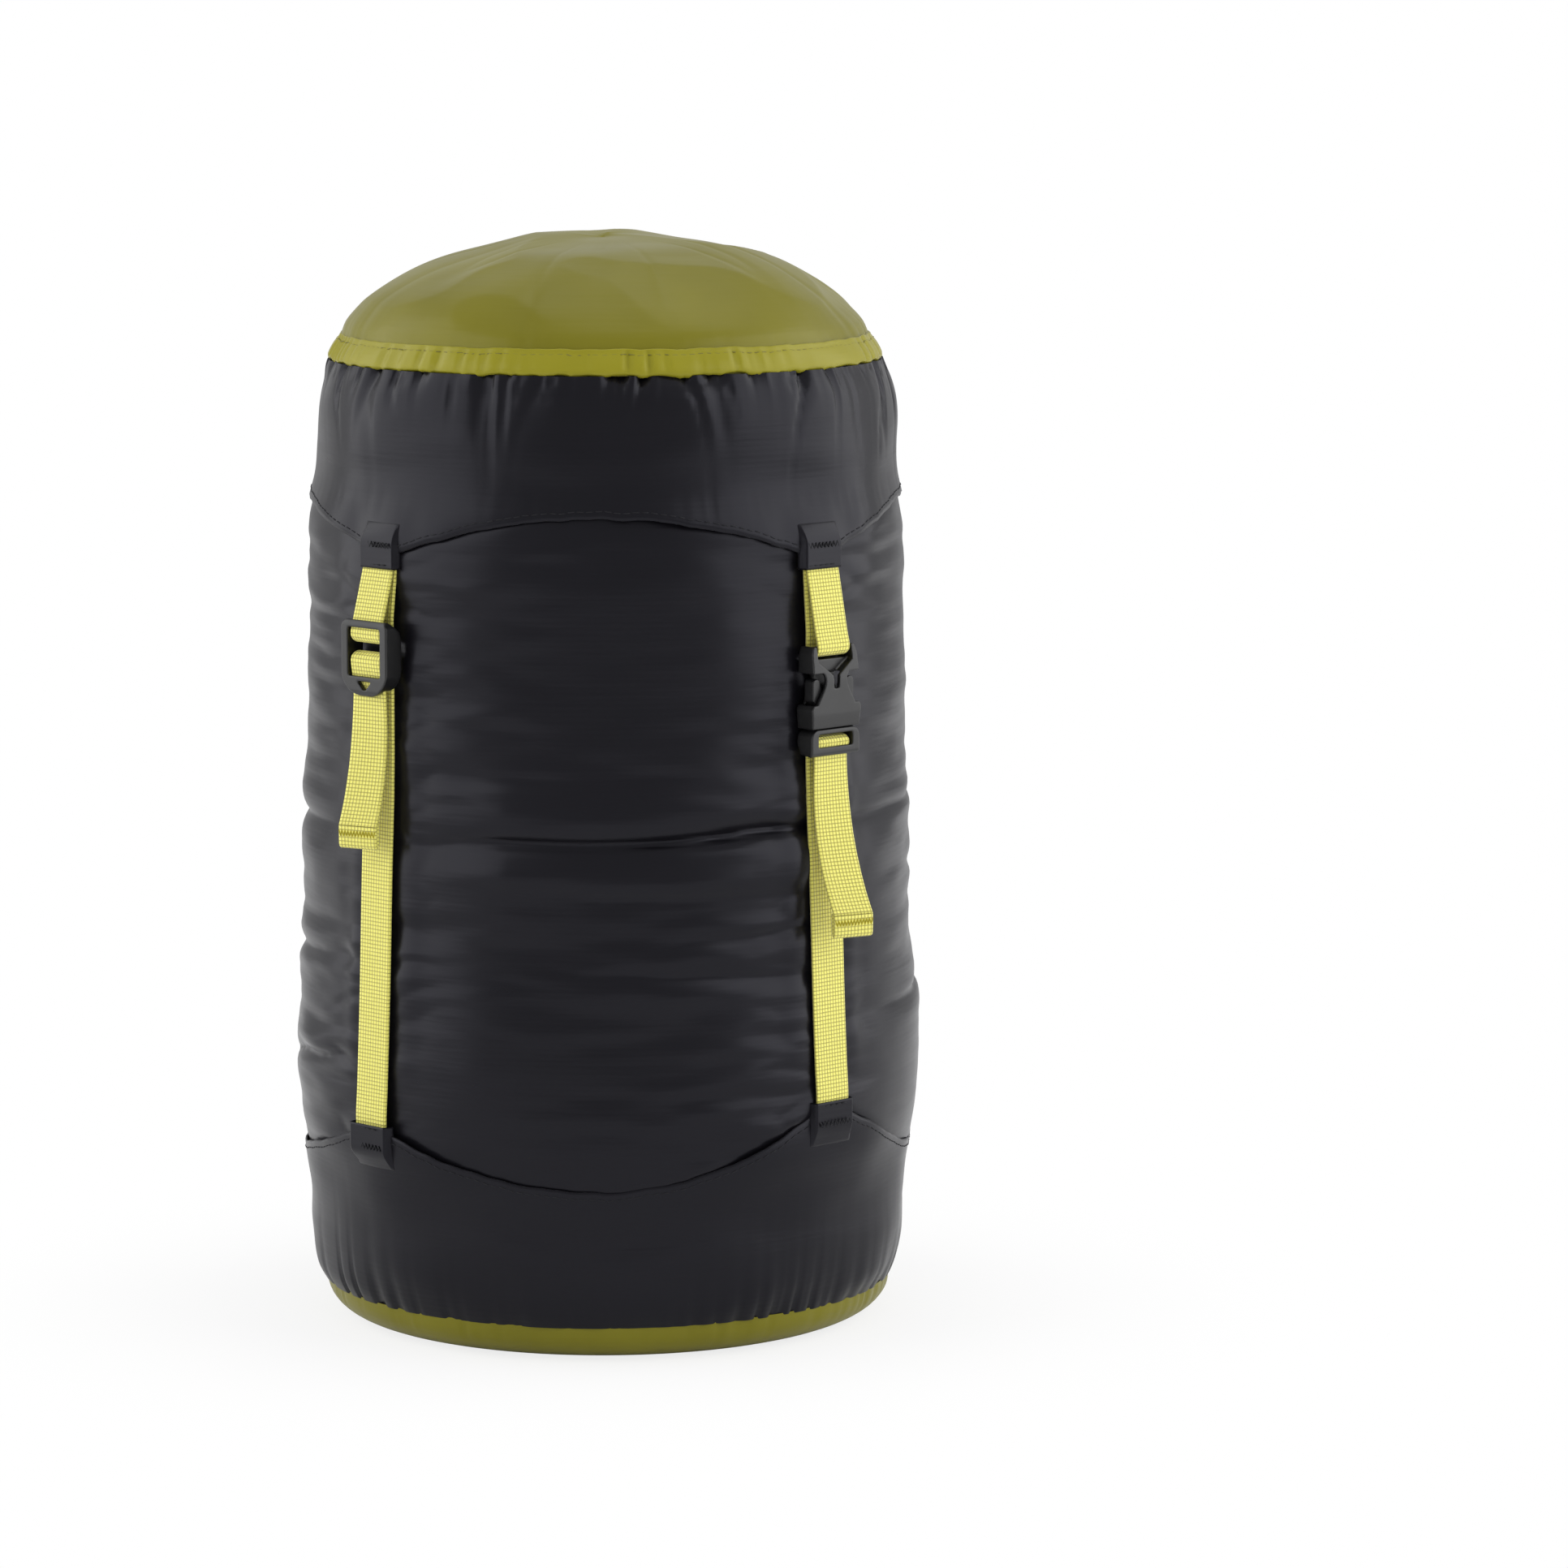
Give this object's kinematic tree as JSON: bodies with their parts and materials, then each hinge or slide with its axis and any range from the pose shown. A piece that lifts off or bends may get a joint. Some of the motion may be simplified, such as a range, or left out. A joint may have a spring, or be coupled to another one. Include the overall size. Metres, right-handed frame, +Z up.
{
  "type": "compression sack",
  "caption": "Stuffed round fabric compression sack with a domed lid and a flat base, drawn together by webbing straps through ladder locks and side-release buckles.",
  "frame": {"origin": "centre of the base, on the surface that the sack stands on", "axes": "+Z up from base to lid, -Y the front, between a ladder lock strap on its left and a side-release buckle strap on its right"},
  "size_m": [0.2182, 0.2182, 0.377],
  "materials": {
    "olive_fabric": "satin",
    "black_fabric": "satin",
    "black_tape": "matte",
    "thread": "matte",
    "webbing": "matte",
    "buckle_plastic": "satin",
    "load": "matte"
  },
  "bodies": {
    "base": {"base_panel": "olive_fabric", "base_yoke": "black_fabric", "body_tube": "black_fabric", "packed_load": "load", "base_tab_front_left": "black_tape", "base_bar_tack_front_left": "thread", "lower_strap_front_left": "webbing", "base_tab_front_right": "black_tape", "base_bar_tack_front_right": "thread", "lower_strap_front_right": "webbing", "base_tab_back_right": "black_tape", "base_bar_tack_back_right": "thread", "lower_strap_back_right": "webbing", "base_tab_back_left": "black_tape", "base_bar_tack_back_left": "thread", "lower_strap_back_left": "webbing"},
    "lid": {"neck_closure": "black_fabric", "lid_yoke": "black_fabric", "lid_panel": "olive_fabric", "lid_band": "olive_fabric", "lid_tab_front_left": "black_tape", "lid_bar_tack_front_left": "thread", "upper_loop_front_left": "webbing", "lid_tab_front_right": "black_tape", "lid_bar_tack_front_right": "thread", "upper_loop_front_right": "webbing", "socket_front_right": "buckle_plastic", "lid_tab_back_right": "black_tape", "lid_bar_tack_back_right": "thread", "upper_loop_back_right": "webbing", "socket_back_right": "buckle_plastic", "lid_tab_back_left": "black_tape", "lid_bar_tack_back_left": "thread", "upper_loop_back_left": "webbing"},
    "lock_front_left": {"ladder_lock_front_left": "buckle_plastic", "strap_tail_front_left": "webbing"},
    "end_front_left": {"strap_end_front_left": "webbing"},
    "plug_front_right": {"plug_front_right": "buckle_plastic", "strap_tail_front_right": "webbing"},
    "arm_front_right_left": {"arm_front_right_left": "buckle_plastic"},
    "arm_front_right_right": {"arm_front_right_right": "buckle_plastic"},
    "end_front_right": {"strap_end_front_right": "webbing"},
    "plug_back_right": {"plug_back_right": "buckle_plastic", "strap_tail_back_right": "webbing"},
    "arm_back_right_left": {"arm_back_right_left": "buckle_plastic"},
    "arm_back_right_right": {"arm_back_right_right": "buckle_plastic"},
    "end_back_right": {"strap_end_back_right": "webbing"},
    "lock_back_left": {"ladder_lock_back_left": "buckle_plastic", "strap_tail_back_left": "webbing"},
    "end_back_left": {"strap_end_back_left": "webbing"}
  },
  "joints": [
    {"name": "compress", "type": "slide", "parent": "base", "child": "lid", "axis": [0, 0, 1], "range_m": [-0.06, 0.03], "deforming": ["body_tube", "packed_load", "lower_strap_front_left", "lower_strap_front_right", "lower_strap_back_right", "lower_strap_back_left"]},
    {"name": "tilt_front_left", "type": "hinge", "parent": "lid", "child": "lock_front_left", "pos_m": [-0.07616, -0.07616, 0.2454], "axis": [-0.7071, 0.7071, 0], "range_deg": [0, 20], "deforming": ["upper_loop_front_left"]},
    {"name": "feed_front_left", "type": "slide", "parent": "lock_front_left", "child": "end_front_left", "axis": [0, 0, 1], "range_m": [-0.06, 0.03], "deforming": ["strap_tail_front_left"]},
    {"name": "release_front_right", "type": "slide", "parent": "lid", "child": "plug_front_right", "axis": [0, 0, -1], "range_m": [0, 0.022]},
    {"name": "squeeze_front_right_left", "type": "hinge", "parent": "plug_front_right", "child": "arm_front_right_left", "pos_m": [0.07262, -0.08167, 0.2174], "axis": [-0.7071, 0.7071, 0], "range_deg": [0, 7], "stiffness_Nm_per_rad": 0.3},
    {"name": "squeeze_front_right_right", "type": "hinge", "parent": "plug_front_right", "child": "arm_front_right_right", "pos_m": [0.08167, -0.07262, 0.2174], "axis": [0.7071, -0.7071, 0], "range_deg": [0, 7], "stiffness_Nm_per_rad": 0.3},
    {"name": "feed_front_right", "type": "slide", "parent": "plug_front_right", "child": "end_front_right", "axis": [0, 0, 1], "range_m": [-0.06, 0.03], "deforming": ["strap_tail_front_right"]},
    {"name": "release_back_right", "type": "slide", "parent": "lid", "child": "plug_back_right", "axis": [0, 0, -1], "range_m": [0, 0.022]},
    {"name": "squeeze_back_right_left", "type": "hinge", "parent": "plug_back_right", "child": "arm_back_right_left", "pos_m": [0.08167, 0.07262, 0.2174], "axis": [-0.7071, -0.7071, 0], "range_deg": [0, 7], "stiffness_Nm_per_rad": 0.3},
    {"name": "squeeze_back_right_right", "type": "hinge", "parent": "plug_back_right", "child": "arm_back_right_right", "pos_m": [0.07262, 0.08167, 0.2174], "axis": [0.7071, 0.7071, 0], "range_deg": [0, 7], "stiffness_Nm_per_rad": 0.3},
    {"name": "feed_back_right", "type": "slide", "parent": "plug_back_right", "child": "end_back_right", "axis": [0, 0, 1], "range_m": [-0.06, 0.03], "deforming": ["strap_tail_back_right"]},
    {"name": "tilt_back_left", "type": "hinge", "parent": "lid", "child": "lock_back_left", "pos_m": [-0.07616, 0.07616, 0.2454], "axis": [0.7071, 0.7071, 0], "range_deg": [0, 20], "deforming": ["upper_loop_back_left"]},
    {"name": "feed_back_left", "type": "slide", "parent": "lock_back_left", "child": "end_back_left", "axis": [0, 0, 1], "range_m": [-0.06, 0.03], "deforming": ["strap_tail_back_left"]}
  ],
  "couplings": [
    {"joint": "feed_front_left", "follows": "compress", "ratio": 1},
    {"joint": "feed_front_right", "follows": "compress", "ratio": 1},
    {"joint": "feed_back_right", "follows": "compress", "ratio": 1},
    {"joint": "feed_back_left", "follows": "compress", "ratio": 1}
  ]
}
